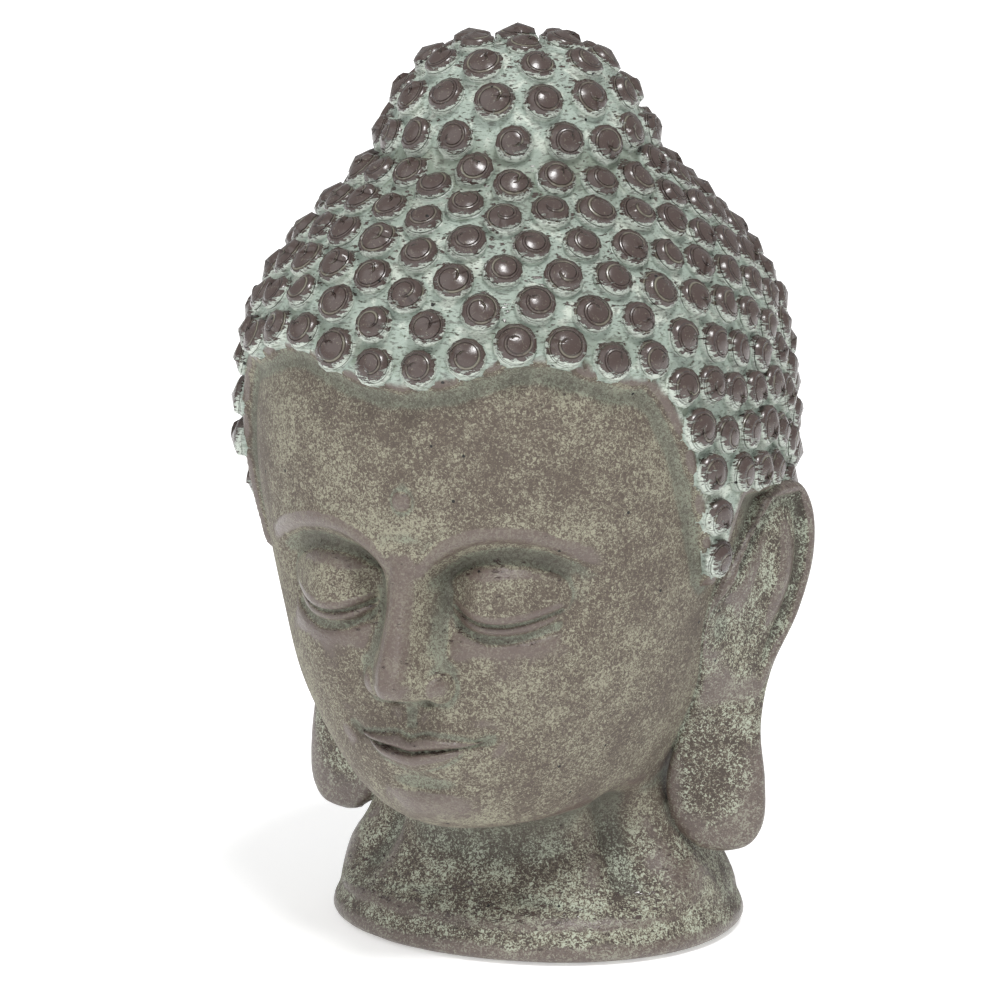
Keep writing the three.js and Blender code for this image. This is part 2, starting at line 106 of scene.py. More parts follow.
def curveThrough(pairs, v):  # smooth curve through (position, value) pairs in falling order
    xs, ys = np.array(pairs[::-1], float).T
    slope = np.gradient(ys, xs)
    k = np.clip(np.searchsorted(xs, v) - 1, 0, len(xs) - 2)
    h = xs[k + 1] - xs[k]
    t = np.clip((v - xs[k]) / h, 0, 1)
    return ((1 + 2 * t) * (1 - t) ** 2 * ys[k] + t * (1 - t) ** 2 * h * slope[k]
            + t * t * (3 - 2 * t) * ys[k + 1] + t * t * (t - 1) * h * slope[k + 1])


def hairlineHeight(turn):  # turn is the angle in plan away from the nose, 0..180 degrees
    overEar = 46 * (smoothStep(69, 84, turn) - smoothStep(105, 115, turn))
    front = 259 + 12 * hill(turn - 26, 14) - 99 * smoothStep(48, 76.5, turn)
    return front - 50 * smoothStep(85, 180, turn) + overEar


def hairlineSlope(turn):  # a degree of turn is taken at 110 mm from the middle of the head
    return (hairlineHeight(turn + 0.5) - hairlineHeight(turn - 0.5)) / math.radians(110)


def insideHair(turn, z):  # distance in from the hairline, measured square to it
    return (z - hairlineHeight(turn)) / np.sqrt(1 + hairlineSlope(turn) ** 2)


face = {
    "brow": 187,  # heights, and distances out from the middle
    "eye": (39, 176),
    "lidLine": 171.5,
    # height, size
    "noseReach": [(200, 0), (190, 4.5), (180, 7.5), (168, 11.5), (154, 18), (143, 24), (138, 25), (133.5, 20),
                  (129.5, 3.5), (126, 0), (100, 0)],
    "noseWidth": [(200, 13), (186, 9.5), (172, 9.5), (156, 13), (143, 16), (134, 16), (126, 14)],
    "wing": (13, 137.5),
    "nostril": (7.6, 130),
    "mouth": 108,
    "chin": 77,
    "cheek": (50, 143),
    "dot": (216, 4.6, 2.8),  # height, radius, rise of the dot between the brows
}


def browHeight(a):  # a is the distance out from the middle of the face, on either side
    return face["brow"] + 16 * np.sin(math.pi * 0.88 * np.clip((a - 8) / 66, 0, 1.2) ** 0.85)


def eyes(a, z):  # sockets under the brows, and lowered lids
    out, up = face["eye"]
    below = browHeight(a) - z
    span = smoothStep(5, 17, a) * (1 - smoothStep(54, 82, a))
    rise = -smoothStep(0, 10, below) * (1 - smoothStep(18, 48, below)) * span * (8.5 + 5 * hill(a - 19, 10))
    rise += 1.3 * hill(below + 1.5, 3.5) * smoothStep(4, 14, a) * (1 - smoothStep(60, 80, a))
    rise += 9.5 * np.clip(1 - ((a - out) / 25) ** 2 - ((z - up) / 17) ** 2, 0, 1) ** 0.8
    inEye = smoothStep(23, 19.5, np.abs(a - 39.5))
    under = face["lidLine"] - 5.2 * (1 - ((a - 40) / 21) ** 2) - z
    rise += inEye * (-2.6 * smoothStep(0, 1.4, under) * (1 - smoothStep(4, 13, under))
                     - 1.1 * hill(under - 1.6, 0.9) + 1.7 * hill(under - 4.6, 1.9)
                     - 1.0 * hill(under - 8.5, 2.2) + 0.5 * hill(under + 1.6, 1.2))
    crease = up + 14.5 * np.sqrt(np.clip(1 - ((a - out) / 27) ** 2, 0, 1))
    return rise - 1.3 * hill(z - crease, 1.7) * smoothStep(26, 20, np.abs(a - out))


def nose(a, z):  # the bridge and the wings run into one another
    blend = 1.6
    wingOut, wingUp = face["wing"]
    holeOut, holeUp = face["nostril"]
    reach, wide = curveThrough(face["noseReach"], z), curveThrough(face["noseWidth"], z)
    bridge = reach * (1 - smoothStep(0.12, 1.3, a / wide))
    wing = 12.5 * np.clip(1 - ((a - wingOut) / 8) ** 2 - ((z - wingUp) / 8.5) ** 2, 0, 1) ** 0.7
    both = blend * np.log(np.exp(bridge / blend) + np.exp(wing / blend)) - blend * math.log(2)
    return np.maximum(both, 0) - 4.0 * hill(a - holeOut, 3.2) * hill(z - holeUp, 2.6)


def mouth(a, z):  # two lips either side of the line where they meet, and the groove over them
    rise = 4.5 * hill(a, 27) * hill(z - face["mouth"], 17)
    line = face["mouth"] - 0.5 + 3.6 * (a / 27) ** 2 - 0.9 * hill(a, 4.5)
    top = line + 8.4 * np.clip(1 - (a / 28) ** 1.7, 0, 1) - 1.3 * hill(a, 4)
    low = line - 9.5 * np.clip(1 - (a / 25) ** 2, 0, 1)
    up = np.clip((z - line) / np.maximum(top - line, 0.8), 0, 1)
    down = np.clip((line - z) / np.maximum(line - low, 0.8), 0, 1)
    upper = (z >= line) * np.sin(math.pi * up**0.62) ** 0.8 * (up < 1)
    lower = (z < line) * np.sin(math.pi * down**0.62) ** 0.8 * (down < 1)
    rise += smoothStep(30, 25, a) * (3.6 * upper + 4.4 * lower * smoothStep(26, 14, a)
                                     - 1.6 * hill(z - line, 1.3))
    rise -= 3.6 * hill(a - 29.5, 5) * hill(z - line - 0.5, 4.5)
    return rise - 1.3 * hill(a, 3.4) * smoothStep(115, 119, z) * (1 - smoothStep(124, 129, z))


def chinAndCheeks(a, z):  # a round chin under a dip, and full cheeks
    cheekOut, cheekUp = face["cheek"]
    rise = 5.5 * hill(a, 19) * hill(z - face["chin"], 12) - 3.6 * hill(z - 91.5, 5.5) * hill(a, 17)
    return rise + 4.5 * hill(a - cheekOut, 24) * hill(z - cheekUp, 27)


def faceRelief(x, z):  # how far the face stands out from the plain head
    a = np.abs(x)
    height, radius, rise = face["dot"]
    dot = rise * np.clip(1 - (x**2 + (z - height) ** 2) / radius**2, 0, 1) ** 0.6
    return eyes(a, z) + nose(a, z) + mouth(a, z) + chinAndCheeks(a, z) + dot


bustRows = closeTable(bust["rings"], [1, 3, 5])


def unit(v):
    return v / np.linalg.norm(v, axis=-1, keepdims=True)


def neckRelief(turn, z):  # a fold either side of the throat, and a crease over the foot that fades out
    folds = sum(rise * hill(turn - at, width) for at, width, rise in bust["neckFolds"])
    crease = hill(z - bust["collar"] + 0.12 * (turn - 30), 3)
    crease *= smoothStep(8, 20, turn) * smoothStep(75, 50, turn)
    return folds * smoothStep(16, 34, z) * (1 - smoothStep(66, 84, z)) - 1.2 * crease


def bustSkin(d):  # a point of the skin for each direction d on a unit sphere
    turnRad = np.arctan2(d[:, 0], -d[:, 1])
    turn = np.abs(np.degrees(turnRad))
    place = np.arccos(np.clip(d[:, 2], -1, 1)) / math.pi
    frontZ, front, sideZ, side, backZ, back, axis, square = alongRows(bustRows, place).T
    c, n = np.cos(turnRad), np.sin(turnRad)
    z = np.maximum(np.clip(c, 0, 1) ** 2 * frontZ + n**2 * sideZ + np.clip(-c, 0, 1) ** 2 * backZ, 0)
    depth = np.maximum(np.where(c > 0, front, back), 1e-6)
    wide = np.maximum(side, 1e-6)
    radius = ((np.abs(n) / wide) ** square + (np.abs(c) / depth) ** square) ** (-1 / square)
    radius += neckRelief(turn, z)
    p = np.stack([radius * n, axis - radius * c, z], 1)
    p[:, 1] -= faceRelief(p[:, 0], p[:, 2]) * (1 - smoothStep(52, 84, turn)) * (place < 0.8)
    inside = insideHair(turn, z)
    lift = bust["hairThickness"] * smoothStep(-1.5, 5.5, inside) + bust["rollHeight"] * hill(inside - 4.5, 3)
    return p + unit(p - [0, 0, bust["hairCentre"]]) * (lift * (z > 60))[:, None]


def direction(turn, place):
    turn, polar = np.radians(turn), np.asarray(place) * math.pi
    level = np.sin(polar)
    return np.stack([level * np.sin(turn), -level * np.cos(turn), np.cos(polar) + 0 * turn], -1)


def tangents(d):
    east = np.stack([-d[:, 1], d[:, 0], 0 * d[:, 0]], 1)
    east[np.sum(east**2, 1) < 1e-8] = [1, 0, 0]
    east = unit(east)
    return east, np.cross(d, east)


def turnOf(d):
    return np.abs(np.degrees(np.arctan2(d[:, 0], -d[:, 1])))


# snail curls: the knot is ringed first, the rest are stacked up from the hairline and then spread out
curls = {
    "pitch": 20.5,  # centre to centre
    "closest": 0.865,  # least gap before they are spread out, in pitches
    "height": 8.0,
    "radius": 9.5,
    "firstRowInset": 12.0,
    "knotRings": [(0, 1), (0.035, 6), (0.0655, 10), (0.1, 14), (0.136, 17)],  # place down the crown, curls
    "fixedRings": 3,
    "spreadRounds": 40,
    "spreadReach": 1.25,  # curls closer than this push one another away, in pitches
    "spreadPush": 0.22,
    "sectors": 12,
    "roundTo": 102,  # degrees from the tip to the rim, so the sides lean in a little
    "coilStart": 0.23,  # where the coil starts, as a part of the radius
    "coilStep": 0.385,  # how far it widens in one turn
    "grooveDepth": 0.085,
    "skirt": 3.0,  # how far a curl goes under the scalp
    "fillets": (0.12, 0.05, 0.05),  # each pass rounds what lies below this part of the height
    "seed": 7,
}


def placeAtHeight(turns, heights):  # where on its meridian the skin has sunk to this height
    lo, hi = np.full(len(turns), 0.02), np.full(len(turns), 0.75)
    for _ in range(22):
        mid = (lo + hi) / 2
        above = bustSkin(direction(turns, mid))[:, 2] > heights
        lo, hi = np.where(above, mid, lo), np.where(above, hi, mid)
    return (lo + hi) / 2


def firstRow():  # keeps in step with the hairline, one pitch apart
    turns = np.arange(-180, 181.0)
    a = np.abs(turns)
    heights = hairlineHeight(a) + curls["firstRowInset"] * np.sqrt(1 + hairlineSlope(a) ** 2)
    d = direction(turns, placeAtHeight(turns, heights))
    along = np.append(0, np.cumsum(np.linalg.norm(np.diff(bustSkin(d), axis=0), axis=1)))
    count = round(along[-1] / curls["pitch"])
    target = along[-1] * (np.arange(count) + 0.5) / count
    return unit(np.stack([np.interp(target, along, d[:, k]) for k in range(3)], 1))


def curlSeats():
    turns = np.arange(-180, 180, 2.0)
    hairline = bustSkin(direction(turns, placeAtHeight(turns, hairlineHeight(np.abs(turns)))))
    rings = []
    for ring, (place, count) in enumerate(curls["knotRings"]):
        turn = 360 * (np.arange(count) + 0.5 * (ring % 2)) / count
        rings.append(direction(turn, np.full(count, place)))
    fixed = [ring < curls["fixedRings"] for ring, seats in enumerate(rings) for _ in seats]
    d = np.vstack(rings)
    placed = bustSkin(d)

    rows, turn = np.meshgrid(np.arange(42, 190), np.arange(-180, 180, 1.5), indexing="ij")
    turn = turn.ravel()
    free = direction(turn, rows.ravel() / 250)  # every seat that a curl could have
    p = bustSkin(free)
    away = np.sqrt(((p[:, None] - hairline[None]) ** 2).sum(2).min(1))
    inset = curls["firstRowInset"]
    keep = (insideHair(np.abs(turn), p[:, 2]) >= inset) & (away >= inset)
    free, away, turn = free[keep], away[keep], turn[keep]
    order = np.argsort(np.floor(away / 0.75 + 0.5) * 1000 + np.abs(turn) + 0.1 * (turn < 0), kind="stable")
    first = firstRow()
    candidates = np.vstack([first, free[order]])
    apart = curls["pitch"] * curls["closest"]
    for i, seat in enumerate(bustSkin(candidates)):
        if ((placed - seat) ** 2).sum(1).min() >= apart**2:
            d, placed = np.vstack([d, candidates[i]]), np.vstack([placed, seat])
            fixed.append(i < len(first))
    loose = ~np.array(fixed)

    reach, step = curls["pitch"] * curls["spreadReach"], 0.03
    for _ in range(curls["spreadRounds"]):
        away = placed[:, None] - placed[None]
        gap = np.linalg.norm(away, axis=2) + 1e-9
        near = (gap < reach) & (gap > 1e-6)
        push = (away * (near * curls["spreadPush"] * (reach - gap) / gap)[:, :, None]).sum(1)
        east, north = tangents(d)
        perEast = bustSkin(unit(d + east * step)) - placed
        perNorth = bustSkin(unit(d + north * step)) - placed
        moved = unit(d + east * (step * (push * perEast).sum(1) / (perEast**2).sum(1))[:, None]
                     + north * (step * (push * perNorth).sum(1) / (perNorth**2).sum(1))[:, None])
        there = bustSkin(moved)
        allowed = loose & (insideHair(turnOf(moved), there[:, 2]) >= inset)
        d[allowed], placed[allowed] = moved[allowed], there[allowed]
    return d, placed


def skinNormals(d, step=0.02):  # outwards, and the way east
    east, north = tangents(d)
    along = [bustSkin(unit(d + axis * step)) - bustSkin(unit(d - axis * step)) for axis in (east, north)]
    return unit(np.cross(along[0], along[1])), unit(along[0])


def curlShape():  # one curl, 1 high and 1 in radius
    # three points wound twice round the axis make one coiled strip; poke and extrude close it
    n, rim = curls["sectors"], math.cos(math.radians(curls["roundTo"]))
    bm = bmesh.new()
    layers = {name: bm.verts.layers.float.new(name) for name in ("hair", "cap", "coilX", "coilY")}
    lane = [bm.verts.new((r, 0, 0)) for r in (1, 2, 3)]
    edges = [bm.edges.new(lane[:2]), bm.edges.new(lane[1:])]
    bmesh.ops.spin(bm, geom=lane + edges, axis=(0, 0, 1), cent=(0, 0, 0), dvec=(0, 0, 1),
                   angle=4 * math.pi, steps=2 * n, use_merge=False, use_duplicate=False)
    for v in bm.verts:
        t, k = round(v.co.z), round(math.hypot(v.co.x, v.co.y)) - 1
        wound = t / n + (0, 0.45, 1)[k]
        along = min(curls["coilStart"] + curls["coilStep"] * wound, 1)  # 0 on the tip, 1 on the rim
        turn = 2 * math.pi * t / n
        deep = (-0.01 if k == 1 else curls["grooveDepth"] * min(3 * wound, 1)) * min(5 * (1 - along), 1)
        over = along * math.radians(curls["roundTo"])
        r, z = math.sin(over), (math.cos(over) - rim) / (1 - rim)
        v.co = Vector((r * math.cos(turn), r * math.sin(turn), z)) * (1 - deep)
        v[layers["coilX"]], v[layers["coilY"]] = along * math.cos(turn), along * math.sin(turn)
    bmesh.ops.remove_doubles(bm, verts=bm.verts[:], dist=1e-4)
    foot = [e for e in bm.edges if e.is_boundary and max(v.co.z for v in e.verts) < 0.02]
    hole = [e for e in bm.edges if e.is_boundary and e not in foot]
    disc = bmesh.ops.edgeloop_fill(bm, edges=hole)["faces"]
    tip = bmesh.ops.poke(bm, faces=disc)["verts"][0]
    tip.co, tip[layers["coilX"]], tip[layers["coilY"]] = (0, 0, 0.98), 0, 0
    for v in bm.verts:
        v[layers["cap"]] = v.co.z
    sunk = bmesh.ops.extrude_edge_only(bm, edges=foot)["geom"]
    for v in (g for g in sunk if isinstance(g, bmesh.types.BMVert)):
        v.co = Vector((v.co.x * 1.02, v.co.y * 1.02, -curls["skirt"] / curls["height"]))
        v[layers["cap"]] = -0.3
    bmesh.ops.edgeloop_fill(bm, edges=[e for e in bm.edges if e.is_boundary])
    for v in bm.verts:
        v[layers["hair"]] = 2
    bmesh.ops.recalc_face_normals(bm, faces=bm.faces[:])
    return closeMesh(bm, bpy.data.meshes.new("curlShape"))


def openMesh(mesh):
    bm = bmesh.new()
    bm.from_mesh(mesh)
    return bm


def closeMesh(bm, mesh):
    bm.to_mesh(mesh)
    bm.free()
    return mesh


def setCoords(mesh, points):  # points in millimetres
    mesh.vertices.foreach_set("co", (np.asarray(points) / 1000).ravel())
    mesh.update()


def getCoords(mesh, perUnit=1000):
    co = np.empty(len(mesh.vertices) * 3)
    mesh.vertices.foreach_get("co", co)
    return co.reshape(-1, 3) * perUnit


def newObject(name, mesh):
    obj = bpy.data.objects.new(name, mesh)
    bpy.context.scene.collection.objects.link(obj)
    return obj


def makeCurls(d, points):
    shape = curlShape()
    bm = bmesh.new()
    for _ in points:
        bm.from_mesh(shape)
    mesh = closeMesh(bm, bpy.data.meshes.new("curls"))
    rng = np.random.default_rng(curls["seed"])
    normal, east = skinNormals(d)
    gap = np.linalg.norm(points[:, None] - points[None], axis=2) + 1e3 * np.eye(len(points))
    radius = np.minimum(curls["radius"] * rng.uniform(0.9, 1.04, len(points)), gap.min(1) * 0.497)
    height = curls["height"] * rng.uniform(0.92, 1.08, len(points)) * (radius / curls["radius"]) ** 0.5
    spin = rng.uniform(0, 2 * math.pi, len(points))
    north = np.cross(normal, east)
    localX, localY, localZ = getCoords(shape, 1).T[:, None]
    c, s = np.cos(spin)[:, None], np.sin(spin)[:, None]
    x, y = localX * c - localY * s, localX * s + localY * c
    p = (points[:, None] + (x * radius[:, None])[:, :, None] * east[:, None]
         + (y * radius[:, None])[:, :, None] * north[:, None]
         + (localZ * height[:, None])[:, :, None] * normal[:, None])
    setCoords(mesh, p.reshape(-1, 3))
    report(f"{len(points)} curls of {len(shape.polygons)} faces")
    return newObject("curls", mesh)


# the skin: a ball whose edges are split until they are short enough where they land
longestEdge = {
    "hairAndNape": 7.0,
    "sides": 4.5,  # of the face
    "face": 2.6,
    "features": 1.2,
    "hairline": 2.6,
    "neck": 5.8,
    "underside": 14,
}


def edgeLimit(p, inside):
    a, y, z = np.abs(p[:, 0]), p[:, 1], p[:, 2]
    faceSide = (y < -30) & (inside < 0) & (z > 60)
    limit = np.where(faceSide, longestEdge["sides"], longestEdge["hairAndNape"])
    limit[faceSide & (y < -60) & (a < 66) & (z > 84) & (z < 210)] = longestEdge["face"]
    eye = (np.abs(a - 40) < 26) & (np.abs(z - 172) < 12)
    lips = (a < 32) & (np.abs(z - face["mouth"]) < 12)
    nostril = (a < 23) & (np.abs(z - 134) < 10)
    dot = (a < 7) & (np.abs(z - face["dot"][0]) < 7)
    limit[faceSide & (eye | lips | nostril | dot)] = longestEdge["features"]
    limit[(np.abs(inside - 2.0) < 5) & (z > 90)] = longestEdge["hairline"]
    limit[z < 95] = np.minimum(limit[z < 95], longestEdge["neck"])
    limit[z < 1] = longestEdge["underside"]
    return limit


def sculptBall(name, start, shape, limitAt, rounds=6):  # start is how often the ball is divided at first
    bm = bmesh.new()
    bmesh.ops.create_icosphere(bm, subdivisions=start, radius=1)
    for _ in range(rounds):
        d = unit(np.array([v.co for v in bm.verts]))
        p = shape(d)
        ends = np.array([[v.index for v in e.verts] for e in bm.edges])
        middle = (p[ends[:, 0]] + p[ends[:, 1]]) / 2
        long = np.linalg.norm(p[ends[:, 0]] - p[ends[:, 1]], axis=1) > limitAt(middle, unit(d[ends].sum(1)))
        if not long.any():
            break
        bm.edges.ensure_lookup_table()
        bmesh.ops.subdivide_edges(bm, edges=[bm.edges[i] for i in np.nonzero(long)[0]], cuts=1)
        bmesh.ops.triangulate(bm, faces=[f for f in bm.faces if len(f.verts) > 3])
        bm.verts.index_update()
    d = unit(np.array([v.co for v in bm.verts]))
    mesh = closeMesh(bm, bpy.data.meshes.new(name))
    setCoords(mesh, shape(d))
    report(f"{name}: {len(mesh.polygons)} faces")
    return newObject(name, mesh)


ear = {
    # z, front edge x y, back edge x y, thickness
    "rings": [
        [208, 113, 26, 114, 29, 0],
        [204, 108, 13, 117, 41, 8],
        [190, 103, -1, 119.5, 48, 12],
        [170, 100, -18, 119, 48, 13],
        [148, 97, -20, 115, 41, 13],
        [124, 90, -10, 108.5, 28, 13],
        [99, 78, -1, 107, 22, 13],
        [75, 70, 4, 110, 21, 14],
        [56, 71, 8, 110, 20, 13],
        [45, 80, 10, 104, 18, 9],
        [41.5, 91, 14, 93, 15, 0],
    ],
    "longestEdge": 3.4,
}
earRows = closeTable(ear["rings"], [])


def earSkin(d):
    angle = np.arctan2(d[:, 0], -d[:, 1])  # 0 on the front edge, a quarter turn outwards
    s = alongRows(earRows, np.arccos(np.clip(d[:, 2], -1, 1)) / math.pi)
    z, front, back, thickness = s[:, 0], s[:, 1:3], s[:, 3:5], s[:, 5]
    middle, half = (front + back) / 2, (back - front) / 2
    halfLength = np.linalg.norm(half, axis=1)
    along = half / halfLength[:, None]
    c, n = np.cos(angle), np.sin(angle)
    e = -np.sign(c) * np.abs(c) ** 0.8 * halfLength
    t = np.sign(n) * np.abs(n) ** 0.7 * thickness / 2
    fromBack, fromFront, fromTop = halfLength - e, halfLength + e, ear["rings"][0][0] - z
    edge = np.minimum(np.minimum(fromBack, fromTop * 1.1), fromFront + np.clip(171 - z, 0, 60) * 0.5)
    upper = smoothStep(112, 147, z)
    relief = -5.6 * smoothStep(5.5, 9.5, edge) * upper  # hollow of the shell
    relief += 1.6 * hill(edge - 3.5, 2.8) * upper  # rim
    relief += 3.8 * hill(fromBack - 20, 6.5) * hill(z - 163, 22)  # inner ridge
    relief -= 5.2 * hill(fromFront - 15, 6) * hill(z - 180, 11)  # pit under the top of the rim
    relief += 2 * hill(fromFront - 5, 3.2) * smoothStep(158, 170, z)  # front end of the rim
    relief -= 2.4 * hill(fromFront - 12, 7) * hill(z - 149, 9)  # ear hole
    relief -= 1.8 * hill(fromBack - 9, 2.4) * smoothStep(126, 142, z) * smoothStep(198, 188, z)  # back groove
    t += np.clip(n, 0, 1) ** 0.5 * relief
    return np.stack([middle[:, 0] + along[:, 0] * e + along[:, 1] * t,
                     middle[:, 1] + along[:, 1] * e - along[:, 0] * t, z], 1)


def makeEars():
    left = sculptBall("earLeft", 4, earSkin, lambda p, d: np.full(len(p), ear["longestEdge"]), 4)
    mesh = left.data.copy()
    right = newObject("earRight", mesh)
    bm = openMesh(mesh)
    bmesh.ops.scale(bm, vec=(-1, 1, 1), verts=bm.verts[:])
    bmesh.ops.recalc_face_normals(bm, faces=bm.faces[:])
    closeMesh(bm, mesh)
    return left, right


def join(body, other):
    joiner = body.modifiers.new(other.name, "BOOLEAN")
    joiner.operation, joiner.solver, joiner.object = "UNION", "MANIFOLD", other
    mesh = bpy.data.meshes.new_from_object(body.evaluated_get(bpy.context.evaluated_depsgraph_get()))
    body.modifiers.clear()
    body.data = mesh
    bpy.data.objects.remove(other)


def edgeEnds(mesh):
    ends = np.empty(len(mesh.edges) * 2, int)
    mesh.edges.foreach_get("vertices", ends)
    return ends[0::2], ends[1::2]


def paint(mesh, name, values):  # one number for each vertex, which the material reads
    mask = mesh.attributes.get(name) or mesh.attributes.new(name, "FLOAT", "POINT")
    mask.data.foreach_set("value", np.ascontiguousarray(values, np.float32))


def fillCuts(mesh, name):  # a join leaves its new points at 0, and they take the mean of their neighbours
    values = np.empty(len(mesh.vertices))
    mesh.attributes[name].data.foreach_get("value", values)
    a, b = edgeEnds(mesh)
    while (values == 0).any():
        known = (values > 0).astype(float)
        total, count = (np.bincount(a, v[b], len(v)) + np.bincount(b, v[a], len(v)) for v in (values, known))
        values = np.where(known > 0, values, total / np.maximum(count, 1))
    paint(mesh, name, values)


def relax(bm, verts):  # half way to the middle of their neighbours
    bmesh.ops.smooth_vert(bm, verts=verts, factor=0.5, use_axis_x=True, use_axis_y=True, use_axis_z=True)


def softenSeam(mesh, rings, passes):  # a fillet where the ears run into the head
    bm = openMesh(mesh)
    hair = bm.verts.layers.float["hair"]
    bmesh.ops.triangulate(bm, faces=[f for f in bm.faces if len(f.verts) > 4])
    seam = {v for v in bm.verts if v[hair] == 0}
    for _ in range(rings):
        seam |= {e.other_vert(v) for v in seam for e in v.link_edges}
    for _ in range(passes):
        relax(bm, list(seam))
    closeMesh(bm, mesh)


def softenValleys(mesh):  # the curls run into the scalp with a small fillet, as in a casting
    bm = openMesh(mesh)
    hair, cap = bm.verts.layers.float["hair"], bm.verts.layers.float["cap"]
    bmesh.ops.triangulate(bm, faces=[f for f in bm.faces if len(f.verts) > 4])
    for reach in curls["fillets"]:
        relax(bm, [v for v in bm.verts if v[hair] > 1.9 and v[cap] < reach])
    closeMesh(bm, mesh)


def depthBelow(mesh, spread, passes):  # how far each point lies below the blurred surface, in millimetres
    p = getCoords(mesh)
    a, b = edgeEnds(mesh)
    count = len(p)
    degree = np.bincount(a, minlength=count) + np.bincount(b, minlength=count)
    square = ((p[a] - p[b]) ** 2).sum(1)
    meanSquare = (np.bincount(a, square, count) + np.bincount(b, square, count)) / degree
    rate = np.minimum(0.9, 4 * spread**2 / passes / meanSquare)[:, None]
    q = p.copy()
    for _ in range(passes):
        around = [np.bincount(a, q[b, k], count) + np.bincount(b, q[a, k], count) for k in range(3)]
        q += rate * (np.stack(around, 1) / degree[:, None] - q)
    normal = np.empty(count * 3)
    mesh.vertices.foreach_get("normal", normal)
    return ((q - p) * normal.reshape(-1, 3)).sum(1)


report("seats for the curls")
seatDirections, seatPoints = curlSeats()
head = sculptBall("castHead", 5, bustSkin, lambda p, d: edgeLimit(p, insideHair(turnOf(d), p[:, 2])))
skin = getCoords(head.data)
paint(head.data, "hair", 1 + smoothStep(0, 12, insideHair(turnOf(skin), skin[:, 2])))  # 1 bare, 2 hair
for earObject in makeEars():
    for name in ("hair", "ear"):
        paint(earObject.data, name, np.ones(len(earObject.data.vertices)))
    join(head, earObject)
softenSeam(head.data, 3, 7)
fillCuts(head.data, "hair")
join(head, makeCurls(seatDirections, seatPoints))
fillCuts(head.data, "hair")
softenValleys(head.data)
head.data.shade_smooth()
paint(head.data, "crease", depthBelow(head.data, 2.5, 12))
paint(head.data, "hollow", depthBelow(head.data, 9, 60))
report(f"cast head: {len(head.data.polygons)} faces")


# materials
def linear(code):  # an sRGB hex value as linear colour
    parts = [int(code[i : i + 2], 16) / 255 for i in (1, 3, 5)]
    return (*[c / 12.92 if c <= 0.04045 else ((c + 0.055) / 1.055) ** 2.4 for c in parts], 1)


def add(tree, kind, inputs, **settings):  # one node with its settings and what feeds it
    node = tree.nodes.new("ShaderNode" + kind)
    for name, value in settings.items():
        setattr(node, name, value)
    for socket, value in inputs.items():
        if isinstance(value, bpy.types.NodeSocket):
            tree.links.new(value, node.inputs[socket])
        else:
            node.inputs[socket].default_value = value
    return node.outputs[2] if kind == "Mix" and settings.get("data_type") == "RGBA" else node.outputs[0]


# settings that many nodes share; a Mix takes its share at 0 and its colours at 6 and 7, and a MapRange its
# value at 0, the range it comes from at 1 and 2, and the range it goes to at 3 and 4
soft = {"interpolation_type": "SMOOTHSTEP"}
colored = {"data_type": "RGBA"}
product, greater, scaledSum = ({"operation": kind} for kind in ("MULTIPLY", "MAXIMUM", "MULTIPLY_ADD"))

castStone = {
    "colors": {
        "brown": "#5b5045",
        "umber": "#3b322b",
        "plum": "#5f514b",
        "bark": "#493c38",
        "sage": "#95937f",
        "mint": "#a6b3a9",
        "chalk": "#cfd7cc",
        "lichen": "#adb5a3",
        "moss": "#757f70",
        # pit: near black, the painted shade inside the pinholes
        "pit": "#15110f",
    },
    "grain": 1.2,  # widths in millimetres: dabs of a sponge, about as fine as the render shows
    "streak": 4.5,  # marks of a stiff brush, a third as high as they are wide
    "blotch": 11,
    "cloud": 48,
    "bubbleGap": 14,  # between pinholes, which are a tenth as wide
    "mattRoughness": 0.75,
    "wornRoughness": 0.24,
    "grainRelief": 0.2,  # in millimetres
    "streakRelief": 0.5,
    "coilRelief": -1.3,
    "pitRelief": -0.8,
}


def perMillimetre(size):  # the scale of a pattern whose marks are this many millimetres across
    return 1000 / size


def brushMarks(tree, place):  # sponge grain, brush marks dragged along the rows, blotches and broad clouds
    dragged = add(tree, "Mapping", {"Vector": place, "Scale": (1, 1, 3)})
    looks = {
        "grain": {"Vector": place, "Detail": 2, "Roughness": 0.6, "Distortion": 1.2},
        "streak": {"Vector": dragged, "Detail": 4, "Roughness": 0.68},
        "blotch": {"Vector": place, "Detail": 4, "Roughness": 0.6},
        "cloud": {"Vector": place, "Detail": 2},
    }
    return {name: add(tree, "TexNoise", {**look, "Scale": perMillimetre(castStone[name])})
            for name, look in looks.items()}


def wearMasks(tree, coat):  # raised edges are worn smooth, hollows keep the wash, and the deepest hollows get painted shade
    broad = add(tree, "Math", {0: coat["ear"], 1: 0.16}, **product)
    sunk = add(tree, "Math", {0: coat["blotch"], 1: 0.5, 2: coat["crease"]}, **scaledSum)
    sunk = add(tree, "Math", {0: coat["hollow"], 1: broad, 2: sunk}, **scaledSum)
    raised = add(tree, "MapRange", {0: sunk, 1: 0.12, 2: -0.12, 4: 0.85}, **soft)
    return {
        "raised": raised,
        "unworn": add(tree, "Math", {0: raised, 1: -0.8, 2: 1}, **scaledSum),
        "washed": add(tree, "MapRange", {0: sunk, 1: 0.3, 2: 0.62, 4: 0.6}, **soft),
        # deep is painted shade: the deeper a hollow, the more the skin is darkened towards umber
        "deep": add(tree, "MapRange", {0: coat["hollow"], 1: 0.6, 2: 3.4, 4: 0.5}, **soft),
    }


